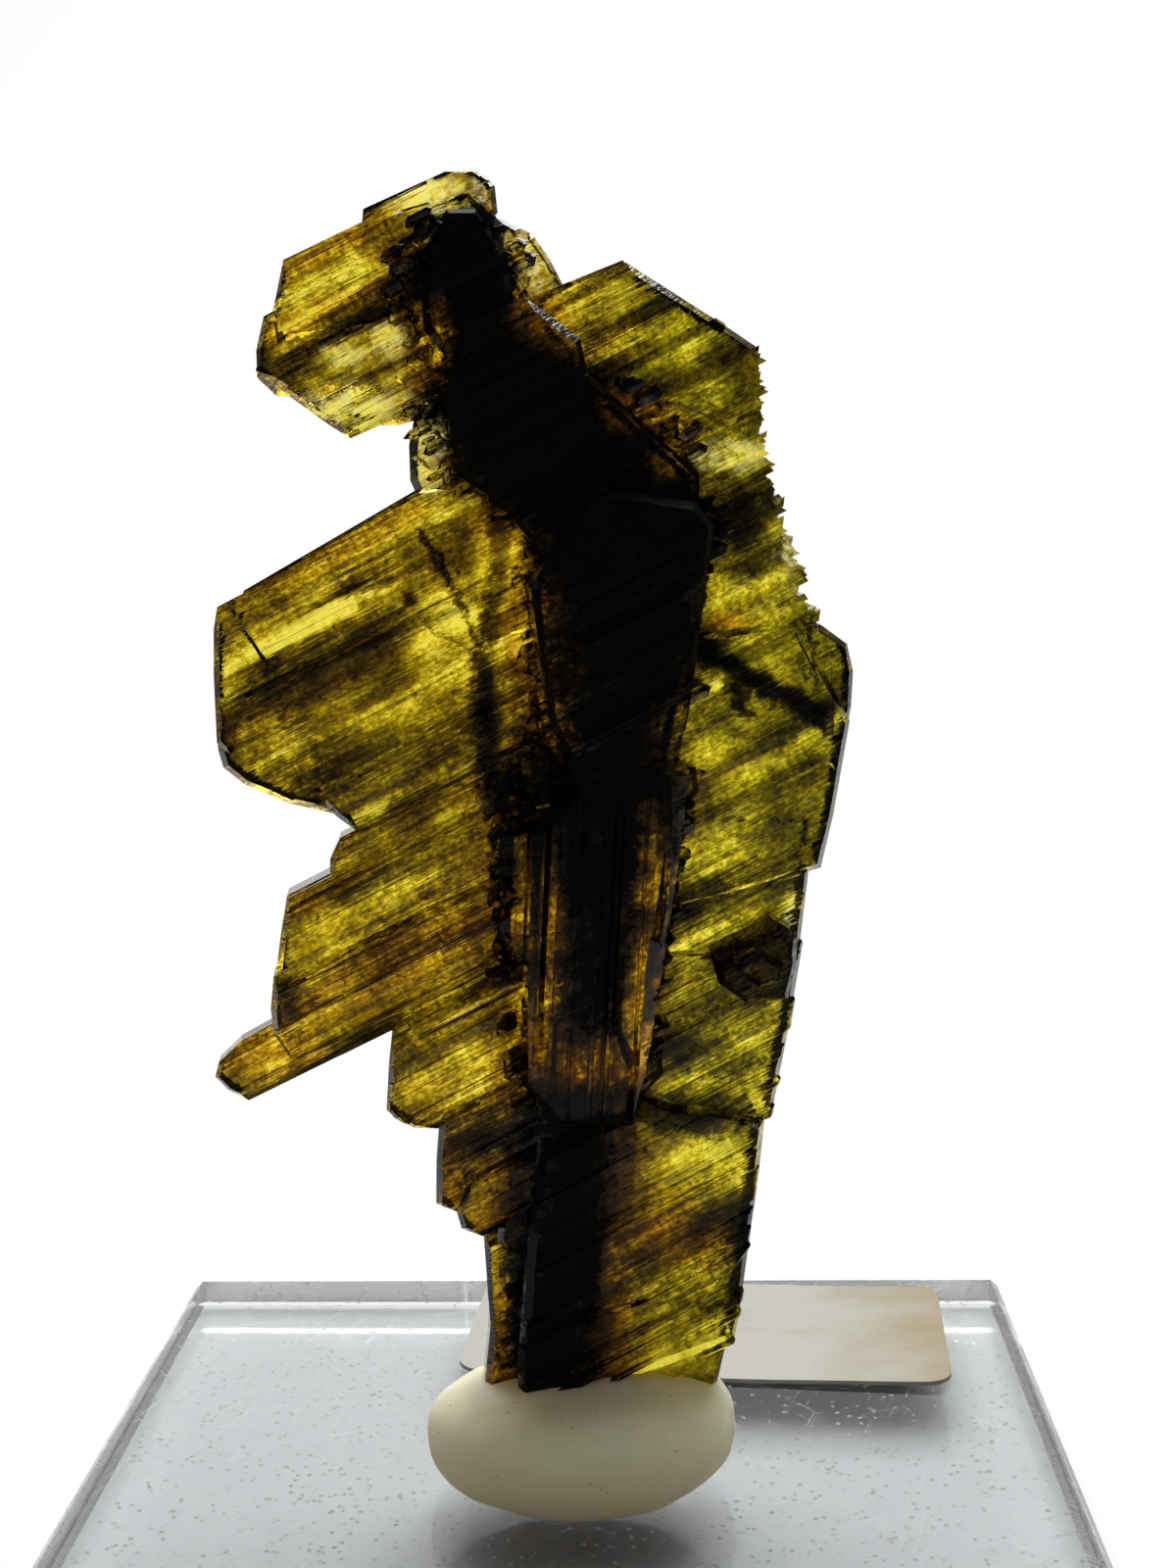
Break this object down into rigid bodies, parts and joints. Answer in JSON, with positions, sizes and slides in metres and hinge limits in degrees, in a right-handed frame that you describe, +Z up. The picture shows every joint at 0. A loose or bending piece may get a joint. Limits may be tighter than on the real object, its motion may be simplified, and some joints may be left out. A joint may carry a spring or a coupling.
{
  "type": "mineral specimen",
  "caption": "Flat striated epidote crystal growth standing upright in white putty on a clear square display plate, with a blank paper label.",
  "frame": {"origin": "middle of the display plate's underside", "axes": "+Z up along the standing crystal, +X to the viewer's right along the blade, -Y towards the viewer"},
  "size_m": [0.05, 0.05, 0.0681],
  "materials": {
    "epidote": "polished",
    "white_putty": "satin",
    "clear_acrylic": "polished",
    "aged_paper": "matte"
  },
  "bodies": {
    "root": {"epidote_crystal": "epidote", "putty": "white_putty", "acrylic_plate": "clear_acrylic", "paper_label": "aged_paper"}
  },
  "joints": []
}
